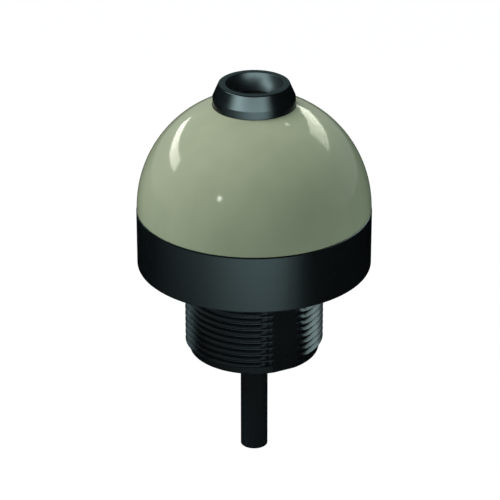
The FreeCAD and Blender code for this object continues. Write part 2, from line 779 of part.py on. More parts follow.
def supply_choke():
    """Wound drum beside the cable connector, on the other side of the axis."""
    body = new_body("supply_choke")
    low = f"({power_seat} - choke_height)"
    turn_beside_axis(
        body,
        "choke_drum",
        "socket_width / 2 + choke_gap + choke_flange",
        [
            (0, low),
            ("choke_flange", low),
            ("choke_flange", f"{low} + choke_flange_height"),
            ("choke_waist", f"{low} + choke_flange_height"),
            ("choke_waist", f"{power_seat} - choke_flange_height"),
            ("choke_flange", f"{power_seat} - choke_flange_height"),
            ("choke_flange", power_seat),
            (0, power_seat),
        ],
    )
    body.Placement.Rotation = FreeCAD.Rotation(FreeCAD.Vector(0, 0, 1), -90)


def wire_places():
    """Places of the wires in the connector, as (X, Y) expressions in two staggered rows."""
    count = round(measure("wire_count"))
    rows = ("socket_stagger", "-socket_stagger")
    return [
        (f"({index} - (wire_count - 1) / 2) * socket_pitch", rows[index % 2])
        for index in range(count)
    ]


def cable_connector():
    """Block under the power board with a hole for each wire of the cable."""
    body = new_body("cable_connector")
    outline = new_sketch(body, "socket_outline", "XY_Plane", socket_bottom)
    add_outline(outline, box_corners("0", "0", "socket_length", "socket_width"))
    raise_sketch(body, "socket_block", outline, "socket_height")
    entries = new_sketch(body, "entries_outline", "XY_Plane", socket_bottom)
    for across, row in wire_places():
        add_circle(entries, across, row, "wire_radius + fit_clearance")
    sink_sketch(body, "entries", entries, "socket_entry", upwards=True)


def header():
    """Plastic strip between the two boards, and the pins through it."""
    height = f"({board_seat} - {power_top})"
    strip = new_body("board_header")
    strip_outline = new_sketch(strip, "strip_outline", "XY_Plane", power_top)
    row = f"(-{header_reach})"
    add_outline(strip_outline, box_corners("0", row, "pin_count * pin_pitch", "header_width"))
    raise_sketch(strip, "strip_block", strip_outline, height)
    way_outline = new_sketch(strip, "way_outline", "XY_Plane", board_seat)
    add_outline(way_outline, box_corners(first_pin, row, "pin_width", "pin_width"))
    way = sink_sketch(strip, "way", way_outline, height)
    repeat_across(strip, "ways", [way], "pin_count", pin_row)

    pins = new_body("header_pins")
    pin_level = f"({power_seat} - pin_overhang)"
    pin_outline = new_sketch(pins, "pin_outline", "XY_Plane", pin_level)
    add_outline(pin_outline, box_corners(first_pin, row, "pin_width", "pin_width"))
    pin = raise_sketch(pins, "pin", pin_outline, f"{board_top} + pin_overhang - {pin_level}")
    repeat_across(pins, "pins", [pin], "pin_count", pin_row)


def end_plug():
    """Plug in the stem's end, with a seal groove and a tapered collar round the cable."""
    groove_floor = f"({plug_edge} - plug_groove_depth)"
    groove_low = f"({plug_face} + plug_thickness / 2 - plug_groove_depth / 2)"
    groove_high = f"({groove_low} + plug_groove_depth)"
    boot_tip = f"({cable_radius} + boot_wall)"
    body = turned(
        "end_plug",
        [
            (cable_radius, f"{plug_face} - boot_height"),
            (boot_tip, f"{plug_face} - boot_height"),
            (f"{boot_tip} + boot_taper", plug_face),
            (plug_edge, plug_face),
            (plug_edge, groove_low),
            (groove_floor, groove_low),
            (groove_floor, groove_high),
            (plug_edge, groove_high),
            (plug_edge, plug_back),
            (cable_radius, plug_back),
        ],
    )
    outline = new_sketch(body, "spanner_outline", "XY_Plane", plug_face)
    add_circle(outline, f"{plug_edge} - spanner_hole_setback", 0, "spanner_hole_radius")
    hole = sink_sketch(body, "spanner_hole", outline, "spanner_hole_depth", upwards=True)
    repeat_round(body, "spanner_holes", [hole], "spanner_hole_count")


def seals():
    """Three O-rings: round the dome's skirt, under the nose's collar, round the plug."""
    skirt_room = "(skirt_groove_depth + fit_clearance)"
    seal_ring(
        "dome_seal",
        f"{cup_radius} - {skirt_room} / 2",
        f"{skirt_end} + skirt_groove_lift + skirt_groove_depth / 2",
        "skirt_groove_depth / 2 - seal_clearance",
    )
    seal_ring(
        "nose_seal",
        f"{barrel_radius} + nose_groove_setback + nose_groove_depth / 2",
        f"{nose_seat} + nose_groove_depth / 2",
        "nose_groove_depth / 2 - seal_clearance",
    )
    seal_ring(
        "plug_seal",
        f"{plug_bore} - (plug_groove_depth + fit_clearance) / 2",
        f"{plug_face} + plug_thickness / 2",
        "plug_groove_depth / 2 - seal_clearance",
    )


def cable():
    """Jacket, crimp ring and the conductors, which fan out to the connector."""
    turned(
        "cable_jacket",
        [
            (jacket_inner, cable_end),
            (cable_radius, cable_end),
            (cable_radius, jacket_top),
            (jacket_inner, jacket_top),
        ],
    )
    crimp_radius = f"({cable_radius} + crimp_wall)"
    turned(
        "crimp_ring",
        [
            (cable_radius, plug_back),
            (crimp_radius, plug_back),
            (crimp_radius, f"{plug_back} + crimp_height"),
            (cable_radius, f"{plug_back} + crimp_height"),
        ],
    )
    lay = measure(wire_lay)
    gather = measure(f"{socket_bottom} - wire_bend")
    landing = measure(f"{socket_bottom} + socket_entry")
    places = wire_places()
    turns = [pi / 2 + 2 * pi * index / len(places) for index in range(len(places))]
    routes = []
    for turn, (target, row) in zip(sorted(turns, key=cos), places):
        across = lay * cos(turn)
        along = lay * sin(turn)
        routes.append(
            [
                FreeCAD.Vector(across, along, measure(cable_end)),
                FreeCAD.Vector(across, along, measure(f"{jacket_top} + wire_radius")),
                FreeCAD.Vector(measure(target), measure(row), gather),
                FreeCAD.Vector(measure(target), measure(row), landing),
            ]
        )
    wire_group("conductors", routes, measure("wire_bend"), measure("wire_radius"))


base_housing()
dome()
sensing_nose()
nose_nut()
transducer()
main_board()
board_screws()
status_lights()
microcontroller()
pulse_transformer()
reservoir_capacitors()
power_board()
filter_capacitor()
supply_choke()
cable_connector()
header()
end_plug()
seals()
cable()
document.recompute()

nodes = [
    item
    for item in document.Objects
    if item.TypeId in ("PartDesign::Body", "Part::Torus", "Part::Feature")
]
for item in document.Objects:
    if "Invalid" in item.State or "Error" in item.State:
        raise RuntimeError(f"{item.Label} did not build")
for node in nodes:
    if node.Shape.isNull() or not node.Shape.isValid():
        raise RuntimeError(f"{node.Label} has no valid shape")

os.makedirs("parts", exist_ok=True)
for node in nodes:
    node.Shape.exportStep(f"parts/{node.Label}.step")
    print(f"{node.Label}: {len(node.Shape.Solids)} solid(s), {node.Shape.Volume:.1f} mm3")
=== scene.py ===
import math

import bmesh
import bpy
import numpy as np
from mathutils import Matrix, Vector


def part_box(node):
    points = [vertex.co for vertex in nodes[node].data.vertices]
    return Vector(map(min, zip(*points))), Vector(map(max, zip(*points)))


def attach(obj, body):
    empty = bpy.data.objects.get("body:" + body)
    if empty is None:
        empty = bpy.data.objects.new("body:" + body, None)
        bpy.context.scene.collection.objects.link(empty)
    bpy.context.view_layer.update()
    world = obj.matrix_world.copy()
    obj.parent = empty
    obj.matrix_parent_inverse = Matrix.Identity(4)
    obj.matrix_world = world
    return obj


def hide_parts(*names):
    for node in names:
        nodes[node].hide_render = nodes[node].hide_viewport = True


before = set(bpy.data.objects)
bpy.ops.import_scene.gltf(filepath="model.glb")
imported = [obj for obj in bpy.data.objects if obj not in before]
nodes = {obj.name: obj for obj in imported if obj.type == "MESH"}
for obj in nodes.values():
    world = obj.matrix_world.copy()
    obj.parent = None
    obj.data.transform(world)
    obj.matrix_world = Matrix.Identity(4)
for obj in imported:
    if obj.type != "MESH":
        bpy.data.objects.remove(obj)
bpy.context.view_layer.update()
mm = 0.001
print("frame loaded,", len(nodes), "pieces")


# Surfaces. A grid is an array of rows x columns x 3 points, in metres.

def gridFaces(rows, columns, closeRows, closeColumns):
    # the four corners of each cell; a closed direction wraps its last line onto its first
    row = np.arange(rows if closeRows else rows - 1)[:, None]
    column = np.arange(columns if closeColumns else columns - 1)[None, :]
    nextRow, nextColumn = (row + 1) % rows, (column + 1) % columns
    cells = [row * columns + column, row * columns + nextColumn,
             nextRow * columns + nextColumn, nextRow * columns + column]
    return np.stack(cells, axis=-1).reshape(-1, 4)


def makeMesh(name, grids):
    # grids are (points, closeRows, closeColumns); points that meet become one
    points, faces, count = [], [], 0
    for grid, closeRows, closeColumns in grids:
        faces.append(gridFaces(*grid.shape[:2], closeRows, closeColumns) + count)
        points.append(grid.reshape(-1, 3))
        count += grid.shape[0] * grid.shape[1]
    mesh = bpy.data.meshes.new(name)
    mesh.from_pydata(np.concatenate(points), [], np.concatenate(faces))
    return mesh


def finishMesh(mesh, sharpAngle=20, meet=1e-6):
    work = bmesh.new()
    work.from_mesh(mesh)
    bmesh.ops.remove_doubles(work, verts=work.verts, dist=meet)
    bmesh.ops.recalc_face_normals(work, faces=work.faces)
    work.to_mesh(mesh)
    work.free()
    mesh.shade_smooth()
    mesh.set_sharp_from_angle(angle=math.radians(sharpAngle))


def makePiece(name, grids, material, replaced):
    mesh = makeMesh(name, grids)
    finishMesh(mesh)
    mesh.materials.append(material)
    piece = bpy.data.objects.new(name, mesh)
    bpy.context.collection.objects.link(piece)
    evenNormals = piece.modifiers.new("evenNormals", "WEIGHTED_NORMAL")
    evenNormals.keep_sharp = True
    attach(piece, "root")
    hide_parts(replaced)
    print(name, len(mesh.vertices), "points")
    return piece


def arc(centre, radius, start, end, steps):
    # points on a circle: centre + radius * (cos, sin) of evenly spaced angles in degrees
    angle = np.radians(np.linspace(start, end, steps))
    return np.array(centre) + radius * np.stack([np.cos(angle), np.sin(angle)], axis=-1)


def softLoop(corners, steps=6):
    # closed outline through (radius, height, rounding) corners: each corner is cut back along both
    # of its edges by rounding / tan(half its angle), and an arc of that rounding joins the two cuts
    corners = np.array(corners, float)
    point, rounding = corners[:, :2], corners[:, 2:]
    back = np.roll(point, 1, axis=0) - point
    ahead = np.roll(point, -1, axis=0) - point
    back /= np.linalg.norm(back, axis=1, keepdims=True)
    ahead /= np.linalg.norm(ahead, axis=1, keepdims=True)
    half = np.arccos(np.clip((back * ahead).sum(1, keepdims=True), -1, 1)) / 2
    middle = back + ahead
    middle /= np.maximum(np.linalg.norm(middle, axis=1, keepdims=True), 1e-9)
    centre = point + middle * rounding / np.sin(half)
    first = point + back * rounding / np.tan(half) - centre
    last = point + ahead * rounding / np.tan(half) - centre
    start = np.arctan2(first[:, 1], first[:, 0])
    turn = np.arctan2(last[:, 1], last[:, 0]) - start
    turn = (turn + math.pi) % (2 * math.pi) - math.pi
    angle = start[:, None] + turn[:, None] * np.linspace(0, 1, steps)
    loop = centre[:, None] + rounding[:, None] * np.stack([np.cos(angle), np.sin(angle)], axis=-1)
    loop = loop.reshape(-1, 2)
    moved = np.linalg.norm(loop - np.roll(loop, 1, axis=0), axis=1) > 1e-5
    return loop[moved]


def withCorners(points):
    # an arc's points as plain corners of a loop
    return [(x, y, 0) for x, y in points]


def fullTurn(columns):
    return np.linspace(0, 2 * math.pi, columns, endpoint=False)


def cylinderPoints(radius, height, turns):
    # radius, height and angle as arrays that fit each other, in millimetres and radians
    radius, height, turns = np.broadcast_arrays(radius, height, turns)
    return np.stack([radius * np.cos(turns), radius * np.sin(turns), height], axis=-1) * mm


def lathe(outline, turns):
    # each outline point (radius, height) goes round Z
    return cylinderPoints(outline[:, :1], outline[:, 1:], turns)


# Shader trees. A Wire is one value; sums on it add Math nodes.

class Wire:
    def __init__(self, tree, socket):
        self.tree, self.socket = tree, socket

    def maths(self, operation, *values, clamp=False):
        settings = {"operation": operation, "use_clamp": clamp}
        return self.tree.node("ShaderNodeMath", settings, dict(enumerate(values)))

    def __add__(self, other):
        return self.maths("ADD", self, other)

    def __radd__(self, other):
        return self.maths("ADD", other, self)

    def __sub__(self, other):
        return self.maths("SUBTRACT", self, other)

    def __rsub__(self, other):
        return self.maths("SUBTRACT", other, self)

    def __mul__(self, other):
        return self.maths("MULTIPLY", self, other)

    def __rmul__(self, other):
        return self.maths("MULTIPLY", other, self)

    def __truediv__(self, other):
        return self.maths("DIVIDE", self, other)

    def __rtruediv__(self, other):
        return self.maths("DIVIDE", other, self)

    def __pow__(self, other):
        return self.maths("POWER", self, other)

    def __lt__(self, other):
        return self.maths("LESS_THAN", self, other)

    def __gt__(self, other):
        return self.maths("GREATER_THAN", self, other)

    def __neg__(self):
        return self.maths("MULTIPLY", self, -1)


def colourOf(colour):
    return colour if isinstance(colour, Wire) else (*colour, 1)


class NodeTree:
    def __init__(self, tree):
        self.tree = tree

    def node(self, kind, settings={}, inputs={}, output=0):
        made = self.tree.nodes.new(kind)
        for name, value in settings.items():
            if name == "stops":
                self.setStops(made.color_ramp, value)
            else:
                setattr(made, name, value)
        for name, value in inputs.items():
            self.join(value, made.inputs[name])
        return Wire(self, made.outputs[output]) if made.outputs else None

    def join(self, value, socket):
        if isinstance(value, Wire):
            self.tree.links.new(value.socket, socket)
        else:
            socket.default_value = value

    def setStops(self, ramp, stops):
        while len(ramp.elements) < len(stops):
            ramp.elements.new(0.5)
        for element, (place, colour) in zip(ramp.elements, stops):
            element.position = place
            element.color = (*colour, 1)

    def place(self, centre=(0, 0, 0), stretch=(1, 1, 1), turn=(0, 0, 0)):
        # object coordinates, moved so that centre is their origin
        coordinates = self.node("ShaderNodeTexCoord", output="Object")
        shift = tuple(-c * s for c, s in zip(centre, stretch))
        values = {"Vector": coordinates, "Location": shift, "Rotation": turn, "Scale": stretch}
        return self.node("ShaderNodeMapping", {"vector_type": "POINT"}, values)

    def split(self, place):
        return [Wire(self, socket) for socket in
                self.node("ShaderNodeSeparateXYZ", {}, {"Vector": place}).socket.node.outputs]

    def noise(self, size, detail=2, rough=0.5, place=None):
        # soft random value from 0 to 1 whose patches are about size millimetres wide
        values = {"Vector": place or self.place(), "Scale": 1 / (size * mm), "Detail": detail,
                  "Roughness": rough}
        return self.node("ShaderNodeTexNoise", {}, values)

    def between(self, value, low, high, toLow=0.0, toHigh=1.0, kind="LINEAR"):
        # maps low..high to toLow..toHigh and stops at both ends
        values = {"Value": value, 1: low, 2: high, 3: toLow, 4: toHigh}
        return self.node("ShaderNodeMapRange", {"clamp": True, "interpolation_type": kind}, values)

    def blend(self, amount, first, second):
        # colour between two colours
        settings = {"data_type": "RGBA", "blend_type": "MIX"}
        values = {0: amount, 6: colourOf(first), 7: colourOf(second)}
        return self.node("ShaderNodeMix", settings, values, output=2)

    def bump(self, height, depth):
        # depth is the height in millimetres of a value of 1
        return self.node("ShaderNodeBump", {}, {"Height": height, "Distance": depth * mm, "Strength": 1.0})


class Finish(NodeTree):
    # a material's tree, with constant values set straight on its shader
    def __init__(self, name, constants={}):
        self.material = bpy.data.materials.new(name)
        self.material.use_nodes = True
        super().__init__(self.material.node_tree)
        self.shader = self.tree.nodes["Principled BSDF"]
        for socket, value in constants.items():
            self.shader.inputs[socket].default_value = value

    def feed(self, varying):
        for socket, value in varying.items():
            self.join(value, self.shader.inputs[socket])
        return self.material


def mouldedPlastic(name, look):
    # plastic from a polished or spark-eroded mould: broad patches shift colour and polish a little,
    # and a fine grain lies over them
    finish = Finish(name, look.get("constants", {}))
    broad = finish.noise(look["patch"], detail=3)
    grain = finish.noise(look["grain"], detail=2, rough=0.6)
    colour = finish.blend(finish.between(broad, 0.3, 0.7), look["dark"], look["light"])
    roughness = look["rough"] + (broad - 0.5) * look["roughShift"] + (grain - 0.5) * look["grainShift"]
    if "satin" in look:
        # duller within a distance from the axis
        reach, duller = look["satin"]
        x, y = finish.split(finish.place())[:2]
        roughness = roughness + ((x * x + y * y) ** 0.5 < reach * mm) * duller
    normal = finish.bump(grain, look["grainHeight"])
    return finish.feed({"Base Color": colour, "Roughness": roughness, "Normal": normal})


# Camera: straight in front and looking down, as fitted to the outline in the photograph.

view = {"distance": 574.0, "elevation": 25.9, "lens": 193.0, "sensor": 36,
        "shiftAcross": -0.0083, "shiftUp": 0.0205}


def makeCamera():
    camera = bpy.data.objects.new("camera", bpy.data.cameras.new("camera"))
    bpy.context.collection.objects.link(camera)
    up = math.radians(view["elevation"])
    far = view["distance"] * mm
    camera.location = (0, -far * math.cos(up), far * math.sin(up))
    camera.rotation_euler = (math.pi / 2 - up, 0, 0)
    camera.data.lens = view["lens"]
    camera.data.sensor_width = view["sensor"]
    camera.data.shift_x = view["shiftAcross"]
    camera.data.shift_y = view["shiftUp"]
    bpy.context.scene.camera = camera


makeCamera()
print("camera set")


# Cable: a straight length of black jacket round five insulated conductors.

cable = {"outside": 2.95, "inside": 2.0, "edge": 0.15, "exit": -19.75, "columns": 72,
         "dark": (0.0032, 0.0088, 0.0120), "light": (0.0042, 0.0108, 0.0145), "lines": 0.5, "skin": 0.12,
         "rough": 0.52, "roughShift": 0.15, "grainHeight": 0.03}


def cableMaterial():
    # extruded jacket: faint drawn lines along it and a dull skin
    finish = Finish("cableJacket", {"Specular IOR Level": 0.35})
    lines = finish.noise(cable["lines"], detail=3, place=finish.place(stretch=(1, 1, 0.02)))
    skin = finish.noise(cable["skin"], detail=2)
    colour = finish.blend(finish.between(lines, 0.3, 0.7), cable["dark"], cable["light"])
    roughness = cable["rough"] + (skin - 0.5) * cable["roughShift"]
    normal = finish.bump(lines * 0.7 + skin * 0.3, cable["grainHeight"])
    return finish.feed({"Base Color": colour, "Roughness": roughness, "Normal": normal})


def cableRoute(top, bottom):
    # the cable's middle line, read back as points from one open spline
    line = bpy.data.curves.new("cableRoute", "CURVE")
    line.dimensions = "3D"
    line.resolution_u = 12
    spline = line.splines.new("NURBS")
    heights = np.linspace(top, bottom, 4)
    spline.points.add(len(heights) - 1)
    for point, height in zip(spline.points, heights):
        point.co = (0, 0, height, 1)
    spline.order_u = 3
    spline.use_endpoint_u = True
    holder = bpy.data.objects.new("cableRoute", line)
    drawn = bpy.data.meshes.new_from_object(holder)
    route = np.array([vertex.co for vertex in drawn.vertices])
    bpy.data.objects.remove(holder)
    bpy.data.meshes.remove(drawn)
    bpy.data.curves.remove(line)
    return route


def makeCable():
    low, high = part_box("cable_jacket")
    route = cableRoute(high.z, low.z)
    # outside wall down the route, rounded cut end, inside wall back up
    heights = route[:, 2] / mm
    outside = np.stack([np.full_like(heights, cable["outside"]), heights], axis=-1)
    inside = np.stack([np.full_like(heights, cable["inside"]), heights], axis=-1)[::-1]
    edge = cable["edge"]
    rounding = arc((cable["outside"] - edge, heights[-1] + edge), edge, 0, -90, 5)
    outline = np.concatenate([outside[:-1], rounding, inside])
    grid = lathe(outline, fullTurn(cable["columns"]))
    jacket = makePiece("cable", [(grid, True, True)], cableMaterial(), "cable_jacket")


makeCable()


# Housing: ring, floor and stem in one moulding, with a real M30 x 1.5 thread on the stem.

housing = {
    "ring": 25.0, "ringTop": 12.55, "ringEdge": 0.3, "cup": 23.0, "floor": 2.5,
    "bead": 0.3, "beadLevel": 11.75, "stemBore": 11.0, "plugBore": 11.7, "plugStop": -13.15,
    "stemEnd": -20.15, "tip": 13.95,
    "ledgeInside": 15.8, "ledgeBore": 16.9, "ledgeOutside": 17.7, "ledgeTop": 3.1, "ledgeRim": 4.9,
    "bossCount": 3, "bossReach": 19.0, "boss": 1.8, "bossTop": 7.35, "pilot": 0.8, "pilotDepth": 3.7,
    "gusset": 1.0, "gussetGap": 0.4, "mouthEdge": 0.1, "seatGap": 0.1,
    "flatReach": 13.75, "flatDirection": -62.4,
    "dark": (0.0034, 0.0050, 0.0060), "light": (0.0046, 0.0064, 0.0074),
}
# turned, lastTurn and runOut count turns of the ridge, up from where it would start at the seat
thread = {"crest": 14.9, "root": 14.0, "pitch": 1.5, "flank": 31.5, "crestWidth": 0.13,
          "soften": 0.06, "fadeStart": -18.55, "turned": 0.2, "lastTurn": -12.9, "runOut": 0.2}


def threadProfile():
    # one pitch from root to root: (height in the pitch, radius), with its corners softened
    pitch, crest, root = thread["pitch"], thread["crest"], thread["root"]
    slope = (crest - root) * math.tan(math.radians(thread["flank"]))
    halfCrest, middle = thread["crestWidth"] / 2, pitch / 2
    soft = thread["soften"]
    corners = [(middle - halfCrest - slope, root, soft), (middle - halfCrest, crest, soft),
               (middle + halfCrest, crest, soft), (middle + halfCrest + slope, root, soft),
               (pitch, root, 0), (pitch, 0, 0), (0, 0, 0), (0, root, 0)]
    loop = softLoop(corners, steps=3)
    outer = loop[loop[:, 1] > root / 2]
    return outer[np.argsort(outer[:, 0])]


def threadRadius(height, turns, profile):
    # the profile's radius at a height; the ridge climbs one pitch in each turn and runs out below
    ahead = turns / (2 * math.pi) - thread["turned"]
    ridge = ahead + np.floor(height / thread["pitch"] - ahead)
    radius = np.interp(height - thread["pitch"] * ridge, profile[:, 0], profile[:, 1])
    share = np.clip((ridge - thread["lastTurn"]) / thread["runOut"], 0, 1)
    radius = thread["root"] + (radius - thread["root"]) * share
    taper = (thread["crest"] - housing["tip"]) / (thread["fadeStart"] - housing["stemEnd"])
    fade = housing["tip"] + (height - housing["stemEnd"]) * taper
    return np.minimum(radius, fade)


def cutFlats(radius, turns):
    # a flat at a distance from the axis is distance / cos(angle from its middle)
    lean = np.abs(np.cos(turns - math.radians(housing["flatDirection"])))
    return np.minimum(radius, housing["flatReach"] / np.maximum(lean, 0.05))


def stemTurns():
    # angles round the stem, closer together where a flat cuts the thread
    stretches = [(-90, -23.5, 1.5), (-23.5, -11, 0.35), (-11, 11, 2), (11, 23.5, 0.35), (23.5, 90, 1.5)]
    half = [np.linspace(a, b, round((b - a) / step), endpoint=False) for a, b, step in stretches]
    half = np.concatenate(half)
    return np.radians(housing["flatDirection"] + np.concatenate([half, half + 180]))


def stemThread(turns):
    # the profile is carried along the helix as one strip and cut off level at both ends
    profile = threadProfile()
    pitch = thread["pitch"]
    rounds = math.ceil(-housing["stemEnd"] / pitch) + 3
    start = -rounds + 2
    path = np.concatenate([turns + 2 * math.pi * (start + k) for k in range(rounds)]
                          + [turns[:1] + 2 * math.pi * (start + rounds)])
    height = profile[:, :1] + pitch * (path / (2 * math.pi) - thread["turned"])
    height = np.clip(height, housing["stemEnd"], 0)
    radius = cutFlats(threadRadius(height, path, profile), path)
    return cylinderPoints(radius, height, path)


def stemAndRing(turns):
    # everything but the thread, as one open outline from the stem's tip round to the ring's seat
    h = housing
    edge = h["ringEdge"]
    corners = [
        (h["tip"], h["stemEnd"], 0), (h["plugBore"], h["stemEnd"], h["mouthEdge"]),
        (h["plugBore"], h["plugStop"], 0),
        (h["stemBore"], h["plugStop"], 0), (h["stemBore"], h["floor"], 0),
        (h["ledgeInside"], h["floor"], 0), (h["ledgeInside"], h["ledgeTop"], 0),
        (h["ledgeBore"], h["ledgeTop"], 0), (h["ledgeBore"], h["ledgeRim"], 0),
        (h["ledgeOutside"], h["ledgeRim"], 0), (h["ledgeOutside"], h["floor"], 0),
        (h["cup"], h["floor"], 0), (h["cup"], h["beadLevel"] - h["bead"], 0),
        (h["cup"] + h["bead"], h["beadLevel"], 0), (h["cup"], h["beadLevel"] + h["bead"], 0),
        (h["cup"], h["ringTop"], 0), (h["ring"], h["ringTop"], edge), (h["ring"], 0, edge),
        (thread["crest"] + h["seatGap"], 0, 0),
    ]
    outline = softLoop(corners)
    start = np.argmin(np.hypot(outline[:, 0] - h["tip"], outline[:, 1] - h["stemEnd"]))
    outline = np.roll(outline, -start, axis=0)
    radius, height = outline[:, :1] * np.ones_like(turns), outline[:, 1:] * np.ones_like(turns)
    radius = np.where(height < 0, cutFlats(radius, turns), radius)
    seat = cutFlats(threadRadius(np.zeros_like(turns), turns, threadProfile()), turns)
    radius = np.concatenate([radius, seat[None]])
    height = np.concatenate([height, np.zeros_like(seat)[None]])
    return cylinderPoints(radius, height, turns)


def makeBosses():
    # screw bosses on the floor, each with a blind pilot hole and a web to the ring's wall
    h = housing
    outline = np.array([(0, h["floor"]), (h["boss"], h["floor"]), (h["boss"], h["bossTop"]),
                        (h["pilot"], h["bossTop"]), (h["pilot"], h["bossTop"] - h["pilotDepth"]),
                        (0, h["bossTop"] - h["pilotDepth"])])
    boss = lathe(outline, fullTurn(48)) + np.array([h["bossReach"] * mm, 0, 0])
    near, far, half = h["bossReach"] + h["pilot"] + h["gussetGap"], h["cup"], h["gusset"] / 2
    corners = np.array([(near, -half), (far, -half), (far, half), (near, half)])
    middle = corners.mean(0) * np.ones_like(corners)
    rings = [(middle, h["floor"]), (corners, h["floor"]), (corners, h["bossTop"]), (middle, h["bossTop"])]
    web = np.stack([np.column_stack([ring, np.full(4, height)]) for ring, height in rings]) * mm
    grids = []
    for turn in fullTurn(h["bossCount"]):
        c, s = math.cos(turn), math.sin(turn)
        spin = np.array([[c, s, 0], [-s, c, 0], [0, 0, 1]])
        grids += [(boss @ spin, False, True), (web @ spin, False, True)]
    return grids


def housingMaterial():
    look = {"dark": housing["dark"], "light": housing["light"], "patch": 9.0, "grain": 0.16,
            "rough": 0.29, "roughShift": 0.06, "grainShift": 0.10, "grainHeight": 0.006}
    return mouldedPlastic("satinBlackPlastic", look)


def makeHousing():
    turns = stemTurns()
    grids = [(stemThread(turns), False, False), (stemAndRing(turns), False, True), *makeBosses()]
    makePiece("housing", grids, housingMaterial(), "base_housing")


makeHousing()


# Dome: a glossy khaki cap with a skirt that snaps into the ring.

cap = {
    "radius": 24.9, "centre": 12.85, "foot": 12.55, "footEdge": 0.25, "skirt": 22.9, "skirtInside": 20.7,
    "skirtEnd": 9.15, "grooveLow": 9.75, "groove": 1.1, "bead": 0.3, "beadLevel": 11.75,
    "pocket": 8.8, "hole": 6.1, "pad": 10.2, "padDrop": 2.4, "inside": 22.9, "web": 4.0, "webStep": 1.0,
    "pocketDepth": 0.5, "columns": 288, "dark": (0.236, 0.281, 0.193), "light": (0.264, 0.311, 0.215),
    "cloud": 14, "flow": 5, "peel": 1.4, "rough": 0.09, "roughShift": 0.03, "peelHeight": 0.0012,
}
noseSeat = cap["centre"] + math.sqrt(cap["radius"] ** 2 - cap["pocket"] ** 2) - cap["pocketDepth"]


def domeMaterial():
    # a glossy moulding: faint cloudy patches and flow lines in the colour, a trace of orange peel
    finish = Finish("glossyKhakiPlastic")
    cloud = finish.noise(cap["cloud"], detail=3, rough=0.55)
    flow = finish.noise(cap["flow"], detail=4, place=finish.place(stretch=(1, 1, 0.25)))
    tone = finish.between(cloud * 0.6 + flow * 0.4, 0.35, 0.65)
    colour = finish.blend(tone, cap["dark"], cap["light"])
    peel = finish.noise(cap["peel"], detail=2)
    roughness = cap["rough"] + (peel - 0.5) * cap["roughShift"]
    normal = finish.bump(peel, cap["peelHeight"])
    return finish.feed({"Base Color": colour, "Roughness": roughness, "Normal": normal})


def makeDome():
    c = cap
    floor, ceiling = c["grooveLow"], c["grooveLow"] + c["groove"]
    tilt = math.degrees(math.acos(c["pocket"] / c["radius"]))
    padTilt = math.degrees(math.acos(c["pad"] / c["inside"]))
    webTilt = math.degrees(math.asin(c["web"] / c["inside"]))
    outside = arc((0, c["centre"]), c["radius"], 0, tilt, 72)
    inside = arc((0, c["centre"]), c["inside"], padTilt, webTilt, 40)
    corners = [
        (c["skirtInside"], c["skirtEnd"], 0), (c["skirt"], c["skirtEnd"], 0), (c["skirt"], floor, 0),
        (c["skirt"] - c["groove"], floor, 0), (c["skirt"] - c["groove"], ceiling, 0),
        (c["skirt"], ceiling, 0), (c["skirt"], c["beadLevel"] - c["bead"], 0),
        (c["skirt"] + c["bead"], c["beadLevel"], 0), (c["skirt"], c["beadLevel"] + c["bead"], 0),
        (c["skirt"], c["foot"], 0), (c["radius"], c["foot"], c["footEdge"]),
        *withCorners(outside), (c["pocket"], noseSeat, 0), (c["hole"], noseSeat, 0),
        (c["hole"], noseSeat - c["padDrop"], 0), (c["pad"], noseSeat - c["padDrop"], 0),
        *withCorners(inside), (c["skirtInside"], c["centre"] + c["webStep"], 0),
    ]
    grid = lathe(softLoop(corners), fullTurn(c["columns"]))
    makePiece("domeCap", [(grid, True, True)], domeMaterial(), "dome")


makeDome()


# Nose: collar, cone and flat rim round a dish, with a barrel down through the dome.

nose = {
    "collar": 8.7, "collarHeight": 2.3, "coneHeight": 2.95, "rim": 7.45, "rimEdge": 0.3, "mouth": 5.95,
    "mouthEdge": 0.12, "shoulderEdge": 0.12, "bowl": 6.2, "bowlDepth": 3.3, "throat": 3.9, "lip": 0.25,
    "lipEdge": 0.05, "sleeve": 5.1, "barrel": 6.0, "barrelLength": 8.0, "groove": 0.9, "grooveSetback": 0.8,
    "columns": 240, "dark": (0.0032, 0.0048, 0.0058), "light": (0.0044, 0.0062, 0.0072),
    "satin": (6.1, 0.15),
}


def noseMaterial():
    look = {"dark": nose["dark"], "light": nose["light"], "patch": 5.0, "grain": 0.12, "rough": 0.22,
            "satin": nose["satin"], "roughShift": 0.04, "grainShift": 0.05, "grainHeight": 0.002}
    return mouldedPlastic("polishedBlackPlastic", look)


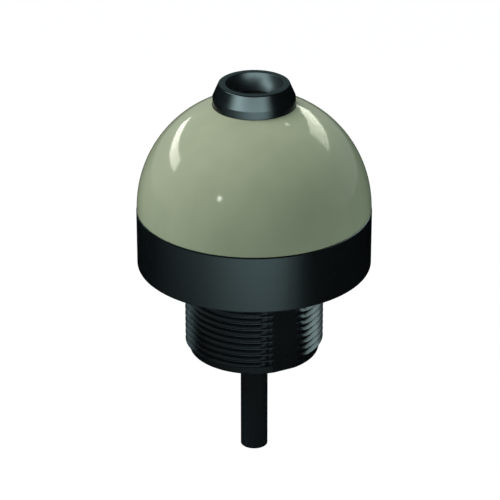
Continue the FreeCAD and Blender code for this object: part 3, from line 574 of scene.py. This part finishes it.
def makeNose():
    n = nose
    shoulder = noseSeat + n["collarHeight"]
    rimTop = shoulder + n["coneHeight"]
    throatTop = rimTop - n["bowlDepth"]
    mouth, throat = np.array((n["mouth"], rimTop)), np.array((n["throat"], throatTop))
    chord = throat - mouth
    length = np.linalg.norm(chord)
    across = np.array((chord[1], -chord[0])) / length
    centre = (mouth + throat) / 2 + across * math.sqrt(n["bowl"] ** 2 - length ** 2 / 4)
    ends = [math.degrees(math.atan2(*(p - centre)[::-1])) for p in (mouth, throat)]
    bowl = arc(centre, n["bowl"], *ends, 28)
    inner = n["barrel"] + n["grooveSetback"]
    outer = inner + n["groove"]
    lipBottom, barrelEnd = throatTop - n["lip"], noseSeat - n["barrelLength"]
    corners = [
        (n["sleeve"], barrelEnd, 0), (n["barrel"], barrelEnd, 0),
        (n["barrel"], noseSeat, 0), (inner, noseSeat, 0), (inner, noseSeat + n["groove"], 0),
        (outer, noseSeat + n["groove"], 0), (outer, noseSeat, 0), (n["collar"], noseSeat, 0),
        (n["collar"], shoulder, n["shoulderEdge"]), (n["rim"], rimTop, n["rimEdge"]),
        (n["mouth"], rimTop, n["mouthEdge"]), *withCorners(bowl[2:]),
        (n["throat"], lipBottom, n["lipEdge"]), (n["sleeve"], lipBottom, 0),
    ]
    grid = lathe(softLoop(corners), fullTurn(n["columns"]))
    makePiece("nose", [(grid, True, True)], noseMaterial(), "sensing_nose")


makeNose()


# Finishes of the pieces that stay as they are.

def dressNode(name, material):
    mesh = nodes[name].data
    mesh.materials.clear()
    mesh.materials.append(material)


def plainLook(dark, light, rough, grain=0.3, **constants):
    return {"dark": dark, "light": light, "patch": 4.0, "grain": grain, "rough": rough,
            "roughShift": 0.08, "grainShift": 0.1, "grainHeight": 0.008,
            "constants": {key.replace("_", " "): value for key, value in constants.items()}}


innerLooks = {
    "dome_seal nose_seal plug_seal": plainLook((0.012, 0.012, 0.012), (0.02, 0.02, 0.02), 0.55),
    "transducer_sleeve": plainLook((0.018, 0.018, 0.02), (0.03, 0.03, 0.032), 0.6),
    "nose_nut": plainLook((0.56, 0.54, 0.48), (0.66, 0.64, 0.58), 0.45),
    "transducer_can": plainLook((0.008, 0.010, 0.011), (0.014, 0.017, 0.019), 0.35, Metallic=0.3),
    "piezo_disc": plainLook((0.62, 0.60, 0.55), (0.74, 0.72, 0.66), 0.3, Metallic=0.9),
    "transducer_backing": plainLook((0.48, 0.46, 0.43), (0.60, 0.58, 0.54), 0.7),
    "transducer_leads": plainLook((0.50, 0.03, 0.025), (0.62, 0.05, 0.04), 0.35),
    "board_screws": plainLook((0.45, 0.45, 0.46), (0.60, 0.60, 0.61), 0.3, Metallic=1.0),
    "status_lights": plainLook((0.80, 0.79, 0.72), (0.88, 0.87, 0.80), 0.2),
    "microcontroller": plainLook((0.014, 0.014, 0.015), (0.03, 0.03, 0.032), 0.55, grain=0.1),
    "board_header": plainLook((0.012, 0.012, 0.013), (0.02, 0.02, 0.022), 0.4),
    "cable_connector": plainLook((0.72, 0.70, 0.64), (0.82, 0.80, 0.74), 0.35),
    "header_pins": plainLook((0.70, 0.50, 0.18), (0.84, 0.62, 0.26), 0.22, Metallic=1.0),
    "crimp_ring": plainLook((0.50, 0.50, 0.51), (0.64, 0.64, 0.65), 0.32, Metallic=1.0),
    "end_plug": plainLook((0.007, 0.008, 0.009), (0.012, 0.014, 0.016), 0.45, grain=0.16),
}


def dressInside():
    for names, look in innerLooks.items():
        material = mouldedPlastic(names.split()[0] + "Finish", look)
        for name in names.split():
            dressNode(name, material)


innerSizes = {
    "track": 3.2, "trackDepth": 0.035, "wirePitch": 0.3, "wireDepth": 0.06, "canEnd": 0.5,
    "transformerFlange": 1.2, "chokeFlange": 0.8, "wireReach": 1.25, "strands": 0.38, "cut": 0.02,
}


def boardMaterial(name, low):
    # green solder resist with copper tracks showing through as paler lines on a square raster
    finish = Finish(name, {"Coat Weight": 0.4})
    tracks = finish.node("ShaderNodeTexBrick", {"offset": 0.35, "squash": 0.6},
                         {"Vector": finish.place(centre=(0, 0, low)),
                          "Scale": 1 / (innerSizes["track"] * mm), "Mortar Size": 0.06,
                          "Color1": (0, 0, 0, 1), "Color2": (0, 0, 0, 1), "Mortar": (1, 1, 1, 1)}, output=1)
    weave = finish.noise(0.6, detail=2)
    resist = finish.blend(finish.between(weave, 0.3, 0.7), (0.010, 0.11, 0.045), (0.016, 0.15, 0.06))
    colour = finish.blend(tracks, resist, (0.05, 0.26, 0.10))
    return finish.feed({"Base Color": colour, "Roughness": 0.32 + (weave - 0.5) * 0.1,
                        "Normal": finish.bump(tracks, innerSizes["trackDepth"])})


def windingMaterial(name, bottom, flange, top):
    # grey core with enamelled wire between its flanges, a ridge for each turn of wire
    finish = Finish(name, {})
    height = finish.split(finish.place())[2]
    wound = (height > (bottom + flange)) * (height < (top - flange))
    ridge = height.maths("SINE", height * (2 * math.pi / (innerSizes["wirePitch"] * mm)))
    speck = finish.noise(0.3, detail=3)
    ferrite = finish.blend(speck, (0.05, 0.05, 0.055), (0.09, 0.09, 0.095))
    colour = finish.blend(wound, ferrite, (0.42, 0.13, 0.05))
    return finish.feed({"Base Color": colour, "Metallic": wound * 0.7, "Roughness": 0.5 - wound * 0.2,
                        "Normal": finish.bump(ridge * wound, innerSizes["wireDepth"])})


def canMaterial(name, sleeveTop, sleeveBottom):
    # drawn aluminium with a dark shrunk sleeve that leaves the ends bare
    finish = Finish(name, {})
    height = finish.split(finish.place())[2]
    sleeved = (height > sleeveBottom) * (height < sleeveTop)
    drawn = finish.noise(0.4, detail=2, place=finish.place(stretch=(1, 1, 0.1)))
    metal = finish.blend(drawn, (0.60, 0.61, 0.63), (0.72, 0.73, 0.75))
    colour = finish.blend(sleeved, metal, (0.02, 0.03, 0.07))
    return finish.feed({"Base Color": colour, "Metallic": 1 - sleeved, "Roughness": 0.3 + drawn * 0.1,
                        "Normal": finish.bump(drawn, 0.01)})


def conductorMaterial():
    # one insulation colour in each fifth of the turn, and copper strands at the cut end
    finish = Finish("conductorInsulation", {})
    across, along, height = finish.split(finish.place())
    share = across.maths("ARCTAN2", across, along) / (2 * math.pi) + 0.5
    colours = [(0.0, (0.03, 0.10, 0.45)), (0.2, (0.75, 0.74, 0.70)), (0.4, (0.17, 0.06, 0.02)),
               (0.6, (0.012, 0.012, 0.013)), (0.8, (0.30, 0.31, 0.32))]
    insulation = finish.node("ShaderNodeValToRGB", {"stops": colours}, {"Fac": share})
    insulation.socket.node.color_ramp.interpolation = "CONSTANT"
    # the turn folds onto each conductor's middle, and the strands lie close about it at the cut end
    fold = share.maths("PINGPONG", share + 0.1, 0.1)
    reach = (across * across + along * along) ** 0.5
    sideways = (fold * (2 * math.pi)) * reach
    offset = ((reach - innerSizes["wireReach"] * mm) ** 2 + sideways * sideways) ** 0.5
    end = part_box("conductors")[0].z + innerSizes["cut"] * mm
    bare = (offset < innerSizes["strands"] * mm) * (height < end)
    strands = finish.noise(0.12, detail=0)
    copper = finish.blend(strands, (0.55, 0.22, 0.10), (0.85, 0.42, 0.22))
    colour = finish.blend(bare, insulation, copper)
    return finish.feed({"Base Color": colour, "Metallic": bare, "Roughness": 0.4 - bare * 0.1,
                        "Normal": finish.bump(strands * bare, 0.05)})


def dressParts():
    dressInside()
    for name in ("main_board", "power_board"):
        dressNode(name, boardMaterial(name + "Resist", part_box(name)[0].z))
    for name, flange in (("pulse_transformer", "transformerFlange"), ("supply_choke", "chokeFlange")):
        low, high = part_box(name)
        dressNode(name, windingMaterial(name + "Winding", low.z, innerSizes[flange] * mm, high.z))
    # the capacitors' bare ends point away from their boards: up on the main one, down on the other
    bare = innerSizes["canEnd"] * mm
    for name, top, bottom in (("reservoir_capacitors", bare, 0), ("filter_capacitor", 0, bare)):
        low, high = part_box(name)
        dressNode(name, canMaterial(name + "Can", high.z - top, low.z + bottom))
    dressNode("conductors", conductorMaterial())
    print("inside pieces dressed")


dressParts()


# Studio: white floor and surround, soft lamps, and cards that only gloss shows.

studio = {
    "ambient": 0.41, "ambientColour": (0.95, 1.0, 0.98), "flagDistance": 1200.0, "cardShare": 0.95,
    "floorDrop": 150.0, "floorSize": 9000.0, "floorGlow": 0.90, "floorFade": (250.0, 1400.0),
    "floorDark": (0.86, 0.93, 0.91), "floorLight": (0.89, 0.96, 0.94),
}
lamps = {
    "key": {"direction": (-94, 60), "distance": 900, "size": 700, "power": 9.6,
            "colour": (1.07, 1.0, 1.0)},
    "kicker": {"direction": (128, 38), "distance": 1100, "size": 500, "power": 3.4,
               "colour": (0.90, 1.0, 0.94)},
}
# A card is a patch of sky, as a span from one azimuth and elevation to another or as two edges through
# (azimuth, elevation) points, or else a level ring or square below the sensor's ring. "pieces" are the
# only ones that it lights. A lobe is a level and the rise and fall of its sides, in degrees of azimuth
# from the card's middle and then of elevation.
teal, paleTeal = (0.65, 0.96, 1.0), (0.72, 0.98, 1.0)
cards = {
    "leftWindow": {
        "low": [(-154, 16), (-149.6, 13.3), (-138.7, 16.0), (-125.5, 17.2), (-101.8, 20.1)],
        "high": [(-154, 16), (-142.7, 20.6), (-128.6, 24.0), (-106.2, 28.6), (-101.8, 20.1)],
        "middle": -128, "pieces": ["domeCap"],
        "colour": (1.0, 0.98, 0.87), "glow": 7.0, "lobes": [
            (0.7, None, None, None, None), (0.3, None, (-10, 22), None, None)]},
    "rightWindow": {
        "low": [(163.2, 18.8), (158.2, 16.6), (149.5, 20.4), (137.1, 23.1), (116.5, 27.5)],
        "high": [(163.2, 18.8), (154.4, 27.6), (144.2, 33.5), (128.1, 41.1), (116.5, 27.5)],
        "middle": 141, "pieces": ["domeCap"],
        "colour": (0.98, 1.0, 0.85), "glow": 4.8, "lobes": [
            (0.55, None, None, None, None), (0.45, (-19, 12), None, None, None)]},
    "leftSpark": {
        "span": ((-41.6, 23.6), (-33.8, 31.0)), "middle": -37.7, "pieces": ["domeCap"],
        "colour": (1.0, 1.0, 0.9), "glow": 18.0, "lobes": [
            (1, (-3.6, -0.2), (0.2, 3.6), (23.8, 27.1), (27.5, 30.8))]},
    "rightSpark": {
        "span": ((136.5, 52.0), (144.0, 57.0)), "middle": 140.3, "pieces": ["domeCap"],
        "colour": (1.0, 1.0, 0.9), "glow": 8.0, "lobes": [
            (1, (-3.6, -0.4), (0.4, 3.6), (52.2, 54.3), (54.7, 56.8))]},
    "domeBack": {
        "span": ((60, -8), (300, 60)), "middle": 180, "pieces": ["domeCap"],
        "colour": (0.98, 1.0, 1.0), "glow": 0.28, "lobes": [(1, (-120, -60), (60, 120), None, (20, 60))]},
    "noseCard": {
        "span": ((-150, -2), (66, 74)), "pieces": ["nose"],
        "colour": (0.70, 0.98, 1.0), "glow": 10.4, "lobes": [
            (0.10, (-80, -44), (22, 56), (-2, 12), (34, 52)),
            (0.98, (-80, -40), (20, 54), (0, 12), (19, 29)),
            (1.40, (-125, -76), (-58, -24), (23, 35), (36, 54))]},
    "noseBack": {
        "span": ((140, 8), (220, 48)), "middle": 180, "pieces": ["nose"],
        "colour": (0.62, 0.98, 1.0), "glow": 0.24, "lobes": [(1, (-40, -10), (10, 40), (8, 18), (34, 48))]},
    "threadRight": {
        "span": ((88, 18), (166, 88)), "middle": 137, "pieces": ["housing"],
        "colour": paleTeal, "glow": 6.0, "lobes": [
            (0.46, (-48, -20), (14, 28), (18, 28), (58, 84)),
            (0.44, (-28, -12), (14, 28), (18, 28), (36, 50))]},
    "threadLeft": {
        "span": ((-172, 4), (-122, 46)), "middle": -147, "pieces": ["housing"],
        "colour": teal, "glow": 1.0, "lobes": [(1, (-25, -10), (10, 25), (4, 14), (24, 44))]},
    "threadRoof": {
        "level": -0.4, "inner": 15.2, "outer": 24.6, "middle": 75, "pieces": ["housing"],
        "colour": paleTeal, "glow": 3.4, "lobes": [
            (0.82, (-50, -14), (60, 120), None, None), (0.10, (-85, -30), (80, 160), None, None),
            (0.09, None, None, None, None)]},
    "underCard": {
        "level": -60.0, "half": 1300.0, "pieces": ["housing"],
        "colour": teal, "glow": 2.3, "lobes": [
            (0.5, (-108, 4), (14, 50), (-29, -19), None), (0.5, (-55, 8), (14, 50), (-29, -19), None)]},
    "collarCard": {
        "level": -59.0, "half": 1300.0, "pieces": ["nose"],
        "colour": (0.67, 0.97, 1.0), "glow": 4.0, "lobes": [
            (0.5, (-108, 4), (20, 60), (-24, -14.5), None), (0.5, (-60, 8), (20, 60), (-24, -14.5), None)]},
}
flags = {
    "sideFlag": {"span": ((-180, -8), (180, 38))},
    "topFlag": {"span": ((-180, 38), (180, 90))},
    "underFlag": {"level": -62.0, "half": 1350.0},
}


def towards(azimuth, elevation):
    # unit direction: azimuth 0 is the camera's side and turns towards +X
    azimuth, elevation = np.radians(azimuth), np.radians(elevation)
    return np.stack([np.sin(azimuth) * np.cos(elevation), -np.cos(azimuth) * np.cos(elevation),
                     np.sin(elevation) * np.ones_like(azimuth)], axis=-1)


def edgeLine(points, steps):
    # evenly numbered points along straight runs of (azimuth, elevation)
    points = np.array(points, float)
    number, wanted = np.linspace(0, 1, len(points)), np.linspace(0, 1, steps)
    return np.stack([np.interp(wanted, number, points[:, k]) for k in (0, 1)], axis=-1)


def skyPatch(low, high, nearer=1.0, steps=49):
    # directions mixed from the low edge to the high one, all at one distance
    share = np.linspace(0, 1, steps)[:, None, None]
    angles = edgeLine(low, steps) * (1 - share) + edgeLine(high, steps) * share
    return towards(angles[..., 0], angles[..., 1]) * studio["flagDistance"] * nearer * mm


def levelSquare(half, level, steps=5):
    line = np.linspace(-half, half, steps)
    x, y = np.meshgrid(line, line)
    return np.stack([x, y, np.full_like(x, level)], axis=-1) * mm


def lobeSum(tree, card):
    # azimuth is the arc tangent of x over -y, elevation that of height over distance from the axis
    place = tree.place(turn=(0, 0, -math.radians(card.get("middle", 0))))
    x, y, z = tree.split(place)
    azimuth = x.maths("ARCTAN2", x, -y)
    elevation = z.maths("ARCTAN2", z, (x * x + y * y) ** 0.5)
    total = None
    for level, rise, fall, lift, drop in card["lobes"]:
        lobe = level
        for angle, edge, low, high in ((azimuth, rise, 0, 1), (azimuth, fall, 1, 0),
                                       (elevation, lift, 0, 1), (elevation, drop, 1, 0)):
            if edge:
                lobe = tree.between(angle, *np.radians(edge), low, high, "SMOOTHSTEP") * lobe
        total = lobe if total is None else total + lobe
    return total


def makeCard(name, grid, card):
    # a clear glowing sheet that only gloss shows, and only on its own pieces
    material = bpy.data.materials.new(name)
    material.use_nodes = True
    material.node_tree.nodes.clear()
    tree = NodeTree(material.node_tree)
    colour = tree.blend(lobeSum(tree, card), (0, 0, 0), card["colour"])
    light = tree.node("ShaderNodeEmission", {}, {"Color": colour, "Strength": card["glow"]})
    clear = tree.node("ShaderNodeBsdfTransparent")
    both = tree.node("ShaderNodeAddShader", {}, {0: light, 1: clear})
    tree.node("ShaderNodeOutputMaterial", {}, {"Surface": both})
    sheet = makeSheet(name, grid, material)
    lit = bpy.data.collections.new(name + "Pieces")
    for piece in card["pieces"]:
        lit.objects.link(bpy.data.objects[piece])
    sheet.light_linking.receiver_collection = lit


def makeFlag(name, grid):
    # black cloth that only gloss shows
    finish = Finish(name, {"Base Color": (0, 0, 0, 1), "Specular IOR Level": 0.0})
    makeSheet(name, grid, finish.material)


def sheetGrid(sheet, nearer=1.0):
    if "span" in sheet:
        (left, bottom), (right, top) = sheet["span"]
        return skyPatch([(left, bottom), (right, bottom)], [(left, top), (right, top)], nearer)
    if "low" in sheet:
        return skyPatch(sheet["low"], sheet["high"], nearer)
    if "inner" in sheet:
        radius = np.linspace(sheet["inner"], sheet["outer"], 3)[:, None]
        return cylinderPoints(radius, sheet["level"], np.linspace(0, 2 * math.pi, 73))
    return levelSquare(sheet["half"], sheet["level"])


def makeSheet(name, grid, material):
    mesh = makeMesh(name, [(grid, False, False)])
    mesh.materials.append(material)
    sheet = bpy.data.objects.new(name, mesh)
    bpy.context.collection.objects.link(sheet)
    sheet.visible_camera = False
    sheet.visible_diffuse = False
    sheet.visible_transmission = False
    sheet.visible_shadow = False
    return sheet


def whereSeen(tree):
    # 1 for rays from the camera and for what gloss and glass show, 0 for the light itself
    rays = tree.tree.nodes.new("ShaderNodeLightPath")
    camera, glossy, through = (Wire(tree, rays.outputs[f"Is {kind} Ray"])
                               for kind in ("Camera", "Glossy", "Transmission"))
    return camera.maths("ADD", camera, glossy + through, clamp=True)


def makeSurround():
    world = bpy.data.worlds.new("surround")
    bpy.context.scene.world = world
    world.use_nodes = True
    world.node_tree.nodes.clear()
    tree = NodeTree(world.node_tree)
    ambient = tree.node("ShaderNodeBackground", {}, {"Color": (*studio["ambientColour"], 1),
                                                     "Strength": studio["ambient"]})
    white = tree.node("ShaderNodeBackground", {}, {"Color": (1, 1, 1, 1), "Strength": 1.0})
    surround = tree.node("ShaderNodeMixShader", {}, {0: whereSeen(tree), 1: ambient, 2: white})
    tree.node("ShaderNodeOutputWorld", {}, {"Surface": surround})


def makeFloor():
    # pale cloth that keeps the shadow near the sensor, plain white further out and clear from beneath
    grid = levelSquare(studio["floorSize"] / 2, -studio["floorDrop"])
    mesh = makeMesh("floor", [(grid, False, False)])
    floor = bpy.data.objects.new("floor", mesh)
    bpy.context.collection.objects.link(floor)
    finish = Finish("paleFloor", {"Roughness": 0.9, "Specular IOR Level": 0.0})
    finish.feed({"Base Color": finish.blend(finish.noise(30), studio["floorDark"], studio["floorLight"])})
    glow = finish.node("ShaderNodeEmission", {}, {"Color": (1, 1, 1, 1), "Strength": 1.0})
    cloth = Wire(finish, finish.shader.outputs[0])
    x, y = finish.split(finish.place())[:2]
    near, far = (reach * mm for reach in studio["floorFade"])
    level = finish.between((x * x + y * y) ** 0.5, near, far, studio["floorGlow"], 1.0, "SMOOTHSTEP")
    mixed = finish.node("ShaderNodeMixShader", {}, {0: whereSeen(finish) * level, 1: cloth, 2: glow})
    under = Wire(finish, finish.tree.nodes.new("ShaderNodeNewGeometry").outputs["Backfacing"])
    clear = finish.node("ShaderNodeBsdfTransparent")
    either = finish.node("ShaderNodeMixShader", {}, {0: under, 1: mixed, 2: clear})
    finish.join(either, finish.tree.nodes["Material Output"].inputs["Surface"])
    mesh.materials.append(finish.material)


def makeLamp(name, lamp):
    light = bpy.data.lights.new(name, "AREA")
    light.shape = "DISK"
    light.size = lamp["size"] * mm
    light.energy = lamp["power"]
    light.color = lamp["colour"]
    obj = bpy.data.objects.new(name, light)
    bpy.context.collection.objects.link(obj)
    direction = Vector(towards(*lamp["direction"]))
    obj.location = direction * lamp["distance"] * mm
    obj.rotation_euler = direction.to_track_quat("Z", "Y").to_euler()
    obj.visible_camera = False
    obj.visible_glossy = False


def makeStudio():
    bpy.context.scene.view_settings.view_transform = "Standard"
    makeSurround()
    makeFloor()
    for name, lamp in lamps.items():
        makeLamp(name, lamp)
    for name, card in cards.items():
        makeCard(name, sheetGrid(card, studio["cardShare"]), card)
    for name, flag in flags.items():
        makeFlag(name, sheetGrid(flag))
    print("studio set")


makeStudio()
